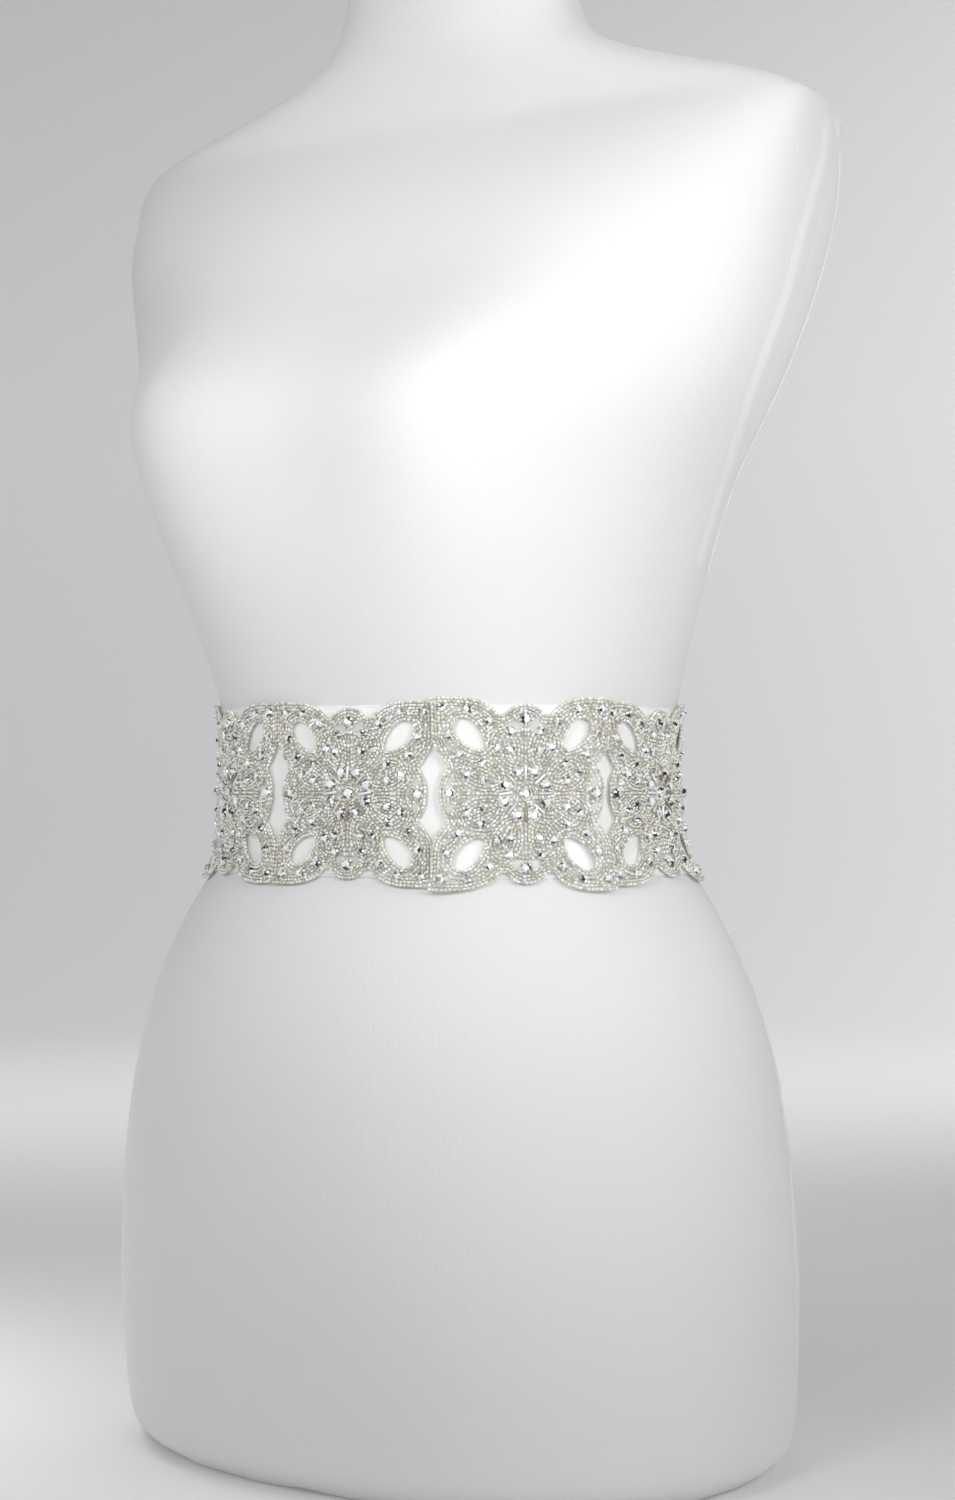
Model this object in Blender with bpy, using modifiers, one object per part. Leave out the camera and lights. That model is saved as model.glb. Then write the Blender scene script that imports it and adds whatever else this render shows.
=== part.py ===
"""Bridal sash on a limbless dress form.

Beaded openwork panels are sewn on a satin ribbon, which goes once round the
waist of a jersey-covered form. The ends of both meet at the back.
Metres, +Z up. The origin is the middle of the form's flat base, the form faces
-Y, and the wearer's left is +X.
"""

import bisect
import math

import bmesh
import bpy
from mathutils import Matrix, Vector

MM = 0.001

# Dress form: one row for each section, from the base to the top of the neck.
# Heights, half widths and depths are in millimetres from the base and the axis.
# Squareness is the exponent of the section's curve: 2 is an ellipse.
FORM_COLUMNS = ("height", "half_width", "front", "back", "squareness")
FORM_SECTIONS = (
    (0, 161, 121, 107, 2.2),
    (8, 172, 131, 118, 2.2),
    (24, 176, 134, 123, 2.2),
    (95, 179, 143, 125, 2.15),
    (150, 176, 144, 121, 2.1),
    (200, 167, 140, 111, 2.1),
    (250, 150, 128, 98, 2.15),
    (268, 137, 118, 93, 2.2),
    (285, 123, 108, 86, 2.25),
    (300, 115, 108, 83, 2.3),
    (345, 112, 107, 82, 2.3),
    (367, 114, 106, 82, 2.3),
    (385, 119, 112, 84, 2.25),
    (420, 128, 115, 90, 2.2),
    (470, 143, 107, 99, 2.2),
    (520, 171, 108, 102, 2.3),
    (560, 186, 90, 107, 2.5),
    (600, 195, 75, 107, 2.8),
    (635, 199, 51, 105, 2.8),
    (652, 197, 33, 92, 2.5),
    (664, 167, 32, 72, 2.3),
    (676, 120, 35, 65, 2.1),
    (690, 84, 39, 62, 2.0),
    (710, 61, 41, 57, 2.0),
    (745, 59, 44, 54, 2.0),
)
FORM_SEGMENTS = 44

# Bust of the form: two rounded mounds added to the front, with the cover
# stretched across between them.
BUST_DEPTH = 54
BUST_SIDE = 91
BUST_HEIGHT = 490
BUST_OUTER_SPREAD = 57
BUST_INNER_SPREAD = 84
BUST_BELOW = 72
BUST_ABOVE = 57

# Rings of the form, as stretches of its height with even steps.
RING_STRETCHES = (
    (0, 24, 3),
    (24, 265, 6),
    (265, 285, 1),
    (285, 305, 3),
    (305, 365, 4),
    (365, 640, 11),
    (640, 700, 6),
    (700, 745, 2),
)

# Satin ribbon under the beading.
RIBBON_LOW = 285
RIBBON_HIGH = 365
RIBBON_WALL = 1.0
RIBBON_JOIN_GAP = 0.5
RIBBON_END_CLEAR = 0.02
SEAM_GAP = 0.3

# Beaded panel, as cut flat: the sizes of one quarter of it.
PANEL_HALF_WIDTH = 42.75
PANEL_HALF_HEIGHT = 43.0
PANEL_WALL = 2.2
PANEL_GAP = 0.7
PANEL_MID_HEIGHT = 324.2
LOBE_TOP = 40.0
LOBE_RADIUS = 11.8
DIP = (12.2, 35.2)
SCALLOP_PULL = (16.8, 41.0)
SCALLOP_CREST_PULL = 23.5
SCALLOP_CREST = 33.5
CORNER_CUT = 1.2
STRAIGHT_SIDE_END = 25.5
SIDE_PULL = 21.5
NOTCH_PULL = (39.4, 16.6)
NOTCH = (35.6, 12.2)
SIDE_LOBE = 39.4

# Leaf opening in each corner of a panel.
LEAF_CENTRE = (25.6, 26.3)
LEAF_LENGTH = 17.5
LEAF_WIDTH = 9.2
LEAF_TURN = 43
LEAF_ROUNDING = 0.22
LEAF_POINTS = 12

# Large stones: one in the middle, a ring round it, and one in each lobe.
STONE_RING = 10.4
STONE_RING_COUNT = 8
LOBE_STONE_UP = 33.2
LOBE_STONE_SIDE = 35.0
STONE_FOOT = 2.6
STONE_TABLE = 1.5
STONE_HEIGHT = 1.8
STONE_SIDES = 6
STONE_SINK = 0.6
STONE_TURN = math.radians(50)

# The stretch of the sash that is nearly as long at every height, as distances
# from the centre front, and how much of the form's taper it still takes up.
STRIP_MIDDLE = 50
STRIP_REACH = 130
STRIP_TAPER = 0.5

# Steps of the measuring lines round the form, and the small angle over which
# its surface is taken as straight.
NEAR_ANGLE = 0.004
LEVEL_COUNT = 8
LINE_STEPS = 480

# Lines on which a flat panel is divided, so that it bends smoothly.
BEND_STEP = 10.7
RISE_STEP = 17.0

# Panels from the wearer's right to the left: the height against a plain panel,
# and how far it and the panel before it lap. The tall one has both of its edges
# on top of its neighbours.
PANELS = (
    ("beaded_panel_right_3", 1.0, 0.0),
    ("beaded_panel_right_2", 1.0, 0.0),
    ("beaded_panel_right_1", 1.0, 0.0),
    ("beaded_panel_front", 1.0, 0.0),
    ("beaded_panel_left_1", 1.04, 0.8),
    ("beaded_panel_left_2", 1.0, 1.4),
    ("beaded_panel_left_3", 1.0, 0.0),
    ("beaded_panel_back", 1.0, 0.0),
)
FRONT_PANEL = "beaded_panel_front"
TOP_PANEL = "beaded_panel_left_1"
FRONT_PANEL_PLACE = 15.3
LIFT = PANEL_WALL + 0.4
LIFT_FLAT = 4.0
LIFT_RAMP = 14.0

# Mesh settings.
SHARP_ANGLE = math.radians(35)
FLAT_ANGLE = math.radians(1)
WELD = 0.01

# Colours as linear values.
JERSEY_WHITE = (0.80, 0.79, 0.78, 1.0)
SATIN_WHITE = (0.90, 0.90, 0.89, 1.0)
BEAD_SILVER = (0.55, 0.52, 0.44, 1.0)


def remove_everything():
    for thing in list(bpy.data.objects):
        bpy.data.objects.remove(thing)


def new_collection(name):
    group = bpy.data.collections.new(name)
    bpy.context.scene.collection.children.link(group)
    return group


def make_material(name, colour, roughness, metallic=0.0):
    material = bpy.data.materials.new(name)
    material.use_nodes = True
    shader = material.node_tree.nodes["Principled BSDF"]
    shader.inputs["Base Color"].default_value = colour
    shader.inputs["Roughness"].default_value = roughness
    shader.inputs["Metallic"].default_value = metallic
    return material


def smooth_step(x):
    x = min(1.0, max(0.0, x))
    return x * x * (3 - 2 * x)


def slopes(xs, ys):
    """Tangents of a smooth curve through the points that never overshoots them."""
    steps = [(ys[i + 1] - ys[i]) / (xs[i + 1] - xs[i]) for i in range(len(xs) - 1)]
    found = [steps[0]]
    for before, after in zip(steps, steps[1:]):
        same_way = before * after > 0
        found.append(2 * before * after / (before + after) if same_way else 0.0)
    return found + [steps[-1]]


def make_column(name):
    """The column of the form's table as a smooth function of height."""
    place = FORM_COLUMNS.index(name)
    xs = [row[0] for row in FORM_SECTIONS]
    ys = [row[place] for row in FORM_SECTIONS]
    ms = slopes(xs, ys)

    def value(height):
        height = min(xs[-1], max(xs[0], height))
        i = max(k for k in range(len(xs) - 1) if xs[k] <= height)
        span = xs[i + 1] - xs[i]
        t = (height - xs[i]) / span
        rise = t * t * (3 - 2 * t)
        lead = t * (1 - t) ** 2 * span * ms[i]
        trail = t * t * (t - 1) * span * ms[i + 1]
        return ys[i] * (1 - rise) + ys[i + 1] * rise + lead + trail

    return value


half_width_at = make_column("half_width")
front_at = make_column("front")
back_at = make_column("back")
squareness_at = make_column("squareness")


def bust_at(x, height):
    """How far the bust stands out in front of the plain section."""
    reach = BUST_ABOVE if height > BUST_HEIGHT else BUST_BELOW
    rise = math.exp(-(((height - BUST_HEIGHT) / reach) ** 2))
    total = 0.0
    for side in (1, -1):
        beyond = x * side - BUST_SIDE
        spread = BUST_OUTER_SPREAD if beyond > 0 else BUST_INNER_SPREAD
        total += math.exp(-((beyond / spread) ** 2))
    return BUST_DEPTH * rise * total


def form_point(angle, height):
    """Point of the form, in millimetres. Angle 0 is the front and grows to the wearer's left."""
    s = math.sin(angle)
    c = math.cos(angle)
    power = 2 / squareness_at(height)
    x = half_width_at(height) * math.copysign(abs(s) ** power, s)
    reach = math.copysign(abs(c) ** power, c)
    if c <= 0:
        return Vector((x, -back_at(height) * reach, height))
    y = -front_at(height) * reach - abs(reach) ** 0.5 * bust_at(x, height)
    return Vector((x, y, height))


def point_off_form(angle, height, away):
    """Point beside the form, moved out level by that many millimetres."""
    along = form_point(angle + NEAR_ANGLE, height) - form_point(angle - NEAR_ANGLE, height)
    out = Vector((-along.y, along.x, 0)).normalized()
    if out.dot(Vector((math.sin(angle), -math.cos(angle), 0))) < 0:
        out.negate()
    return form_point(angle, height) + out * away


class LevelLine:
    """Turns a distance round the form, at one height, into an angle."""

    def __init__(self, away, height):
        self.angles = [math.pi * (2 * i / LINE_STEPS - 1) for i in range(LINE_STEPS + 1)]
        points = [point_off_form(a, height, away) for a in self.angles]
        self.lengths = [0.0]
        for a, b in zip(points, points[1:]):
            self.lengths.append(self.lengths[-1] + (b - a).length)
        self.around = self.lengths[-1]
        self.front = self.lengths[LINE_STEPS // 2]

    def angle(self, distance):
        """Distance 0 is the centre front, and it grows to the wearer's left."""
        along = distance + self.front
        turns = math.floor(along / self.around)
        target = along - turns * self.around
        i = min(bisect.bisect_right(self.lengths, target), len(self.lengths) - 1)
        share = (target - self.lengths[i - 1]) / (self.lengths[i] - self.lengths[i - 1])
        angle = self.angles[i - 1] + share * (self.angles[i] - self.angles[i - 1])
        return angle + 2 * math.pi * turns


class SashWrap:
    """Places the flat sash on the form.

    Round the front the sash is close to a straight strip, as long at its edges as
    at its middle. Behind, its edges ease a little so that its ends meet.
    """

    def __init__(self, away):
        self.middle = LevelLine(away, PANEL_MID_HEIGHT)
        self.around = self.middle.around
        reach = PANEL_HALF_HEIGHT + 2
        self.step = 2 * reach / LEVEL_COUNT
        self.low = PANEL_MID_HEIGHT - reach
        self.lines = [LevelLine(away, self.low + i * self.step) for i in range(LEVEL_COUNT + 1)]

    def angle(self, distance, height):
        place = (height - self.low) / self.step
        i = min(len(self.lines) - 2, max(0, int(place)))
        share = place - i
        below = self.level_angle(self.lines[i], distance)
        above = self.level_angle(self.lines[i + 1], distance)
        return below + share * (above - below)

    def level_angle(self, line, distance):
        from_middle = distance - STRIP_MIDDLE
        stretch = 1 + STRIP_TAPER * (line.around / self.around - 1)
        near = min(abs(from_middle), STRIP_REACH) * stretch
        beyond = max(0.0, abs(from_middle) - STRIP_REACH)
        ease = (line.around / 2 - STRIP_REACH * stretch) / (self.around / 2 - STRIP_REACH)
        return line.angle(STRIP_MIDDLE + math.copysign(near + beyond * ease, from_middle))


def mesh_object(name, mesh, material, group):
    thing = bpy.data.objects.new(name, mesh)
    group.objects.link(thing)
    mesh.materials.clear()
    mesh.materials.append(material)
    return thing


def loft(rows, closed):
    """Quads between rows of points. A closed loft joins the last point of a row to the first."""
    net = bmesh.new()
    made = [[net.verts.new(p * MM) for p in row] for row in rows]
    count = len(rows[0])
    for low, high in zip(made, made[1:]):
        for i in range(count if closed else count - 1):
            j = (i + 1) % count
            net.faces.new((low[i], low[j], high[j], high[i]))
    return net, made


def ring_heights():
    heights = [RING_STRETCHES[0][0]]
    for low, high, steps in RING_STRETCHES:
        heights += [low + (high - low) * (i + 1) / steps for i in range(steps)]
    return heights


def segment_angles():
    return [2 * math.pi * i / FORM_SEGMENTS for i in range(FORM_SEGMENTS)]


def build_form(group, material):
    """Torso with a flat base and a flat top of the neck."""
    rows = [[form_point(a, h) for a in segment_angles()] for h in ring_heights()]
    net, made = loft(rows, closed=True)
    net.faces.new(reversed(made[0]))
    net.faces.new(made[-1])
    bmesh.ops.recalc_face_normals(net, faces=net.faces)
    mesh = bpy.data.meshes.new("dress_form")
    net.to_mesh(mesh)
    net.free()
    mesh.shade_smooth()
    mesh.set_sharp_from_angle(angle=SHARP_ANGLE)
    return mesh_object("dress_form", mesh, material, group)


def ribbon_angles():
    """Angles along the ribbon, from one of its ends at the back to the other."""
    line = LevelLine(SEAM_GAP, PANEL_MID_HEIGHT)
    facets = segment_angles()
    join = line.angle(join_place())
    half_gap = (line.angle(RIBBON_JOIN_GAP) - line.angle(0)) / 2
    start = join - 2 * math.pi + half_gap
    end = join - half_gap
    turned = [a + 2 * math.pi * k for k in (-2, -1, 0, 1) for a in facets]
    between = [a for a in turned if start + RIBBON_END_CLEAR < a < end - RIBBON_END_CLEAR]
    return [start, *sorted(between), end]


def build_ribbon(group, material):
    """Wall that goes once round the waist."""
    angles = ribbon_angles()
    heights = [h for h in ring_heights() if RIBBON_LOW <= h <= RIBBON_HIGH]
    rows = [[point_off_form(a, h, SEAM_GAP) for a in angles] for h in heights]
    net, _ = loft(rows, closed=False)
    mesh = bpy.data.meshes.new("satin_ribbon")
    net.to_mesh(mesh)
    net.free()
    ribbon = mesh_object("satin_ribbon", mesh, material, group)
    wall = ribbon.modifiers.new("wall", "SOLIDIFY")
    wall.thickness = RIBBON_WALL * MM
    wall.offset = 1
    wall.use_even_offset = True
    return ribbon


def arc(centre, radius, start, end, steps):
    """Points of an arc. Angles are in degrees from +X."""
    found = []
    for i in range(steps + 1):
        a = math.radians(start + (end - start) * i / steps)
        found.append((centre[0] + radius * math.cos(a), centre[1] + radius * math.sin(a)))
    return found


def bezier(a, b, c, d, steps):
    found = []
    for i in range(steps + 1):
        t = i / steps
        u = 1 - t
        weights = (u**3, 3 * u * u * t, 3 * u * t * t, t**3)
        found.append(tuple(sum(w * p[k] for w, p in zip(weights, (a, b, c, d))) for k in (0, 1)))
    return found


def quarter_outline():
    """Edge of a panel from the top of its middle lobe to the tip of its side lobe."""
    lobe_centre = (0, LOBE_TOP - LOBE_RADIUS)
    lobe_end = math.degrees(math.asin((DIP[1] - lobe_centre[1]) / LOBE_RADIUS))
    lobe = arc(lobe_centre, LOBE_RADIUS, 90, lobe_end, 4)
    scallop = bezier(
        DIP,
        SCALLOP_PULL,
        (SCALLOP_CREST_PULL, PANEL_HALF_HEIGHT),
        (SCALLOP_CREST, PANEL_HALF_HEIGHT),
        5,
    )
    corner = [
        (PANEL_HALF_WIDTH - CORNER_CUT, PANEL_HALF_HEIGHT),
        (PANEL_HALF_WIDTH, PANEL_HALF_HEIGHT - CORNER_CUT),
    ]
    side = bezier(
        (PANEL_HALF_WIDTH, STRAIGHT_SIDE_END),
        (PANEL_HALF_WIDTH, SIDE_PULL),
        NOTCH_PULL,
        NOTCH,
        4,
    )
    side_centre = (NOTCH[0] ** 2 + NOTCH[1] ** 2 - SIDE_LOBE**2) / (2 * (NOTCH[0] - SIDE_LOBE))
    side_radius = SIDE_LOBE - side_centre
    start = math.degrees(math.asin(NOTCH[1] / side_radius))
    side_lobe = arc((side_centre, 0), side_radius, start, 0, 3)[1:]
    return lobe + scallop + corner + side + side_lobe


def panel_outline():
    """Closed edge of a panel, from its quarter mirrored both ways."""
    quarter = quarter_outline()
    right = quarter + [(x, -y) for x, y in reversed(quarter[:-1])]
    left = [(-x, y) for x, y in reversed(right[1:-1])]
    return right + left


def leaf_outline(flip_x, flip_y):
    """Opening with a pointed inner end and a round outer end."""
    turn = math.radians(LEAF_TURN)
    found = []
    for i in range(LEAF_POINTS):
        q = 2 * math.pi * i / LEAF_POINTS
        along = LEAF_LENGTH / 2 * math.cos(q)
        across = LEAF_WIDTH / 2 * math.sin(q) * (1 + LEAF_ROUNDING * math.cos(q))
        x = LEAF_CENTRE[0] + along * math.cos(turn) - across * math.sin(turn)
        y = LEAF_CENTRE[1] + along * math.sin(turn) + across * math.cos(turn)
        found.append((x * flip_x, y * flip_y))
    return found


def stone_places():
    places = [(0.0, 0.0)]
    for i in range(STONE_RING_COUNT):
        a = 2 * math.pi * (i + 0.5) / STONE_RING_COUNT
        places.append((STONE_RING * math.cos(a), STONE_RING * math.sin(a)))
    for sign in (1, -1):
        places.append((0.0, sign * LOBE_STONE_UP))
        places.append((sign * LOBE_STONE_SIDE, 0.0))
    return places


def flat_plate(group):
    """The panel's flat wall with its four openings, as a mesh object in millimetres."""
    data = bpy.data.curves.new("panel_pattern", "CURVE")
    data.dimensions = "2D"
    data.fill_mode = "BOTH"
    data.extrude = PANEL_WALL / 2
    loops = [panel_outline()]
    loops += [leaf_outline(fx, fy) for fx in (1, -1) for fy in (1, -1)]
    for loop in loops:
        spline = data.splines.new("POLY")
        spline.points.add(len(loop) - 1)
        for point, (x, y) in zip(spline.points, loop):
            point.co = (x, y, 0, 1)
        spline.use_cyclic_u = True
    curve = bpy.data.objects.new("panel_pattern", data)
    group.objects.link(curve)
    bpy.context.view_layer.update()
    evaluated = curve.evaluated_get(bpy.context.evaluated_depsgraph_get())
    mesh = bpy.data.meshes.new_from_object(evaluated)
    bpy.data.objects.remove(curve)
    net = bmesh.new()
    net.from_mesh(mesh)
    bmesh.ops.remove_doubles(net, verts=net.verts, dist=WELD)
    bmesh.ops.translate(net, verts=net.verts, vec=(0, 0, PANEL_WALL / 2))
    bmesh.ops.recalc_face_normals(net, faces=net.faces)
    net.to_mesh(mesh)
    net.free()
    plate = bpy.data.objects.new("flat_panel", mesh)
    group.objects.link(plate)
    return plate


def stone_cutters(group):
    """All large stones of a panel as one mesh object of separate cones."""
    net = bmesh.new()
    depth = STONE_HEIGHT + STONE_SINK
    for i, (x, y) in enumerate(stone_places()):
        middle = PANEL_WALL - STONE_SINK + depth / 2
        place = Matrix.Translation((x, y, middle)) @ Matrix.Rotation(STONE_TURN * i, 4, "Z")
        bmesh.ops.create_cone(
            net,
            cap_ends=True,
            segments=STONE_SIDES,
            radius1=STONE_FOOT,
            radius2=STONE_TABLE,
            depth=depth,
            matrix=place,
        )
    mesh = bpy.data.meshes.new("stones")
    net.to_mesh(mesh)
    net.free()
    stones = bpy.data.objects.new("stones", mesh)
    group.objects.link(stones)
    stones.hide_render = True
    stones.display_type = "WIRE"
    return stones


def flat_panel_mesh(group):
    """One flat panel with its raised stones, divided along the lines on which it bends."""
    plate = flat_plate(group)
    stones = stone_cutters(group)
    join = plate.modifiers.new("stones", "BOOLEAN")
    join.operation = "UNION"
    join.solver = "EXACT"
    join.object = stones
    bpy.context.view_layer.update()
    evaluated = plate.evaluated_get(bpy.context.evaluated_depsgraph_get())
    mesh = bpy.data.meshes.new_from_object(evaluated)
    bpy.data.objects.remove(plate)
    bpy.data.objects.remove(stones)
    net = bmesh.new()
    net.from_mesh(mesh)
    bmesh.ops.dissolve_limit(net, angle_limit=FLAT_ANGLE, verts=net.verts, edges=net.edges)
    cut_along(net, Vector((1, 0, 0)), PANEL_HALF_WIDTH, BEND_STEP)
    cut_along(net, Vector((0, 1, 0)), PANEL_HALF_HEIGHT, RISE_STEP)
    bmesh.ops.remove_doubles(net, verts=net.verts, dist=WELD)
    bmesh.ops.triangulate(net, faces=net.faces)
    net.to_mesh(mesh)
    net.free()
    return mesh


def cut_along(net, axis, reach, step):
    """Divides the mesh on even planes across an axis."""
    count = int(reach / step)
    for i in range(-count, count + 1):
        geometry = net.verts[:] + net.edges[:] + net.faces[:]
        bmesh.ops.bisect_plane(net, geom=geometry, plane_co=axis * (i * step), plane_no=axis)


def panel_lift(name, x):
    """The tall panel rises towards both of its edges, over its neighbours."""
    if name != TOP_PANEL:
        return 0.0
    from_edge = PANEL_HALF_WIDTH - abs(x)
    return LIFT * smooth_step(1 - (from_edge - LIFT_FLAT) / LIFT_RAMP)


def panel_places():
    """Name, height factor and distance from the centre front of each panel's middle."""
    found = []
    edge = 0.0
    for name, tall, lap in PANELS:
        gap = -lap if lap else SEAM_GAP
        middle = edge + gap + PANEL_HALF_WIDTH
        found.append((name, tall, middle))
        edge = middle + PANEL_HALF_WIDTH
    front = next(middle for name, _, middle in found if name == FRONT_PANEL)
    return [(name, tall, middle - front + FRONT_PANEL_PLACE) for name, tall, middle in found]


def join_place():
    """Distance from the centre front of the place where the last panel ends."""
    _, _, middle = panel_places()[-1]
    return middle + PANEL_HALF_WIDTH + SEAM_GAP


def build_panels(group, pattern_group, material):
    """Each panel is the flat one, bent round the waist over the ribbon."""
    away = SEAM_GAP + RIBBON_WALL + PANEL_GAP
    wrap = SashWrap(away)
    pattern = flat_panel_mesh(pattern_group)
    panels = []
    for name, tall, middle in panel_places():
        mesh = pattern.copy()
        mesh.name = name
        for vertex in mesh.vertices:
            x, y, z = vertex.co
            height = PANEL_MID_HEIGHT + y * tall
            angle = wrap.angle(middle + x, height)
            lift = panel_lift(name, x)
            vertex.co = point_off_form(angle, height, away + lift + z) * MM
        panels.append(mesh_object(name, mesh, material, group))
    bpy.data.meshes.remove(pattern)
    return panels


def main():
    remove_everything()
    group = new_collection("bridal_sash_on_dress_form")
    pattern_group = new_collection("panel_pattern")
    jersey = make_material("white_jersey", JERSEY_WHITE, 0.85)
    satin = make_material("white_satin", SATIN_WHITE, 0.35)
    beading = make_material("silver_beading", BEAD_SILVER, 0.3, 0.6)
    build_form(group, jersey)
    build_ribbon(group, satin)
    build_panels(group, pattern_group, beading)


if __name__ == "__main__":
    main()
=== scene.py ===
"""Looks of the bridal sash and its dress form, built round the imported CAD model.

The sash is a satin ribbon with eight beaded panels on it. Each panel is a sheer
ground with openings, rows of seed beads, bugles and crystals in silver cups.
Flat patterns are in millimetres, x along the sash and y up, and are wrapped
round the waist of the CAD form. Everything else is in metres.
"""

import math

import bmesh
import bpy
import numpy as np
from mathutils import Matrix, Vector
from mathutils.bvhtree import BVHTree

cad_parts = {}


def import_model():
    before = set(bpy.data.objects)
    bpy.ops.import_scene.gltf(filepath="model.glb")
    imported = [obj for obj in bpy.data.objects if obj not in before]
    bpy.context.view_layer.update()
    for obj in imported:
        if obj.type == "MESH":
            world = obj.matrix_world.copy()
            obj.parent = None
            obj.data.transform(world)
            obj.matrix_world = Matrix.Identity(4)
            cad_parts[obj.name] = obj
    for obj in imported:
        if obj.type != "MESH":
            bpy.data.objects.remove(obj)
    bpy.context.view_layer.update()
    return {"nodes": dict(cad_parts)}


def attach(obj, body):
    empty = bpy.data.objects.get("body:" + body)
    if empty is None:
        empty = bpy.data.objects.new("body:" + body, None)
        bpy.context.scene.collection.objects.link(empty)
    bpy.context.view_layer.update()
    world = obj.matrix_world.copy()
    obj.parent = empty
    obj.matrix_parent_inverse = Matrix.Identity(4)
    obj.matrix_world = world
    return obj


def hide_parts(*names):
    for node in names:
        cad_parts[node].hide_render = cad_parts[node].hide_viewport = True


MM = 0.001
SEED = 11

# Camera of the photograph.
PHOTO_SIZE = (955, 1500)
CAMERA_TURN = math.radians(35)
CAMERA_DISTANCE = 1.40
CAMERA_HEIGHT = 0.336
AIM_RIGHT = 0.010
AIM_HEIGHT = 0.345
LENS_MM = 67.2
SENSOR_MM = 36.0

# Satin ribbon.
RIBBON_LOW = 285.0
RIBBON_HIGH = 365.0
RIBBON_OFF = 0.55
RIBBON_WALL = 0.5
RIBBON_STEPS_ALONG = 260
RIBBON_STEPS_UP = 20
RIBBON_JOIN_GAP = 0.5

# Flat size of a panel and of its edge, as in the CAD model.
HALF_WIDTH = 42.75
HALF_HEIGHT = 43.0
MID_HEIGHT = 324.2
LOBE_TOP = 40.0
LOBE_RADIUS = 11.8
DIP = (12.2, 35.2)
SCALLOP_PULL = (16.8, 41.0)
SCALLOP_CREST_PULL = 23.5
SCALLOP_CREST = 33.5
CORNER_CUT = 1.2
STRAIGHT_SIDE_END = 25.5
SIDE_PULL = 21.5
NOTCH_PULL = (39.4, 16.6)
NOTCH = (35.6, 12.2)
SIDE_LOBE = 39.4
LEAF_CENTRE = (25.6, 26.3)
LEAF_LENGTH = 17.5
LEAF_WIDTH = 9.2
LEAF_TURN = math.radians(43)
LEAF_ROUNDING = 0.22
LOBE_STEPS = 10
SCALLOP_STEPS = 12
SIDE_STEPS = 10
SIDE_LOBE_STEPS = 8
LEAF_STEPS = 48
GROUND_CELL = 3.0
GROUND_WELD = 0.01
GROUND_FLATNESS = 0.01

# Panels: node, height against a plain one, and place of the middle along the sash.
PANELS = (
    ("beaded_panel_right_3", 1.0, -242.1),
    ("beaded_panel_right_2", 1.0, -156.3),
    ("beaded_panel_right_1", 1.0, -70.5),
    ("beaded_panel_front", 1.0, 15.3),
    ("beaded_panel_left_1", 1.04, 100.0),
    ("beaded_panel_left_2", 1.0, 184.1),
    ("beaded_panel_left_3", 1.0, 269.9),
    ("beaded_panel_back", 1.0, 355.7),
)
JOIN_PLACE = 398.75
TOP_PANEL = "beaded_panel_left_1"
PANEL_OFF = 2.0
LIFT = 2.6
LIFT_FLAT = 4.0
LIFT_RAMP = 14.0
GROUND_RISE = 0.55
BEAD_RISE = 1.35
BUGLE_RISE = 2.2
CUP_RISE = 1.0
STONE_SEAT = 0.35
FRAME_STEP = 0.4

# The wrap round the waist, as in the CAD model.
STRIP_MIDDLE = 50.0
STRIP_REACH = 130.0
STRIP_TAPER = 0.5
WRAP_LOW = 272.0
WRAP_HIGH = 376.0
WRAP_ROWS = 53
WRAP_ANGLES = 720
WRAP_SMOOTHING = math.radians(3.5)
WRAP_REACH = 420.0
WRAP_STEP = 0.5

# Beads and stones.
BEAD_PITCH = 1.9
BEAD_ROW = 1.45
BEAD_LENGTH = 1.75
BEAD_RADIUS = 0.71
LARGE_STONE = 2.35
SMALL_STONE = 1.85
RING_RADIUS = 10.4
RING_COUNT = 8
LOBE_STONE_UP = 33.2
LOBE_STONE_SIDE = 35.0
QUARTER_STONES = (
    (20.0, 6.0),
    (27.0, 8.5),
    (20.0, 13.5),
    (7.0, 19.5),
    (13.0, 20.5),
    (7.0, 27.5),
    (30.5, 17.5),
    (35.5, 26.0),
    (37.5, 38.0),
    (26.5, 37.5),
    (16.5, 32.5),
)
BUGLE_INNER = 6.0
BUGLE_OUTER = 12.6
BUGLE_RADIUS = 0.62
PETAL_CENTRE = 21.3
PETAL_LENGTH = 9.6
PETAL_WIDTH = 6.7
PETAL_ROUNDING = 0.25
PETAL_COUNT = 8
PETAL_ROWS = (0.76, 0.53, 0.3, 0.08)
CENTRE_ROWS = (5.5, 7.0, 8.5, 10.0, 11.5, 13.0)
SHEAF_FROM = 14.0
SHEAF_TO = 30.0
SHEAF_ROWS = 3
EDGE_INSET = 0.8
BAND_FROM = 30.0
SHEER_SPOTS = (
    (4.6, 30.4, 2.6),
    (35.8, 6.0, 3.1),
    (22.2, 18.0, 1.9),
    (14.6, 24.2, 1.9),
)

# Fineness of the rows' lines and of the search for bare places. The beads sewn there
# follow the nearest edge or petal, or this one of the circles.
CIRCLE_STEPS = 60
LINE_STEP = 0.2
FILL_STEP = 0.45
NEAREST_AT_ONCE = 200
GUIDE_CIRCLE = 2

# How near the beads come to stones, bugles, the edge, a row's own corner and each
# other. The last is a share of the pitch along the row and of the row across it.
STONE_CLEARANCE = 0.35
BUGLE_CLEARANCE = 0.55
EDGE_CLEARANCE = 0.7
CORNER_TOLERANCE = 0.06
BEAD_ROOM = (0.86, 0.9)

# How unevenly things are sewn on: shift, turn, height and size.
BEAD_SHIFT = 0.09
BEAD_SWAY = 0.09
BEAD_LEVEL = 0.07
BEAD_SPREAD = 0.04
BUGLE_SHIFT = 0.15
BUGLE_SWAY = 0.08
STONE_SHIFT = 0.15
STONE_TILT = 0.1

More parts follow.
